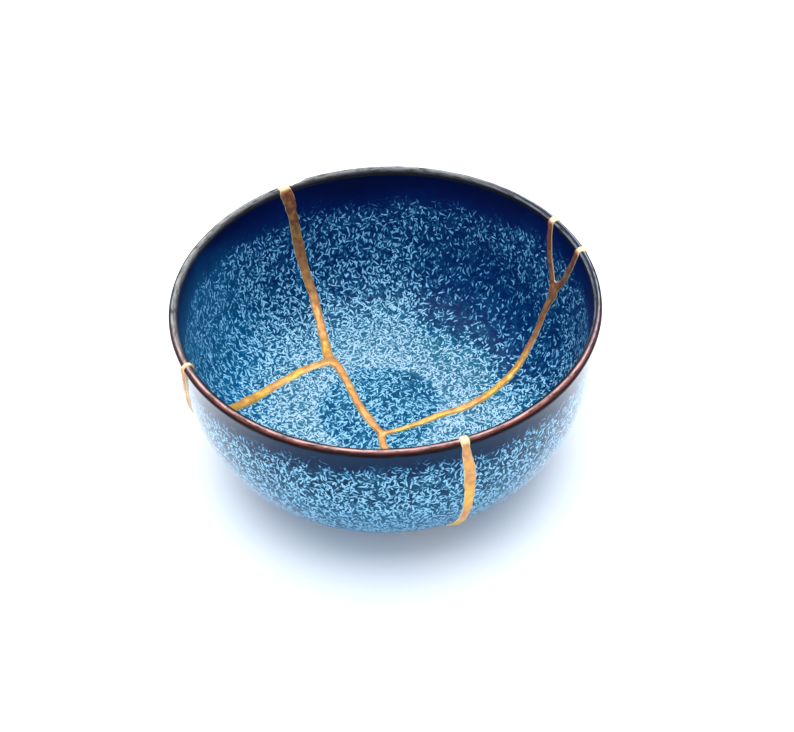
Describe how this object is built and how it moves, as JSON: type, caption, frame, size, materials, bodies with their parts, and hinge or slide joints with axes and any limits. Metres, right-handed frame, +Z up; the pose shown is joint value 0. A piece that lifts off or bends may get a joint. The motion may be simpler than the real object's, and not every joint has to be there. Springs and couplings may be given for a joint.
{
  "type": "kintsugi bowl",
  "caption": "Deep round glazed bowl on a foot ring, broken into shards that raised seams of gold lacquer hold together.",
  "frame": {"origin": "on the bowl's axis, in the plane that the foot ring stands on", "axes": "+Z up along the bowl's axis, out of its mouth; -Y towards the front, where one seam runs down the outside; +X to the right"},
  "size_m": [0.14, 0.14, 0.0679],
  "materials": {
    "glaze_back": "glossy",
    "glaze_left": "glossy",
    "glaze_front_left": "glossy",
    "glaze_front_right": "glossy",
    "glaze_small": "glossy",
    "gold_lacquer": "satin"
  },
  "bodies": {
    "root": {"shard_back": "glaze_back", "shard_left": "glaze_left", "shard_front_left": "glaze_front_left", "shard_front_right": "glaze_front_right", "shard_small": "glaze_small", "gold_seam": "gold_lacquer"}
  },
  "joints": []
}
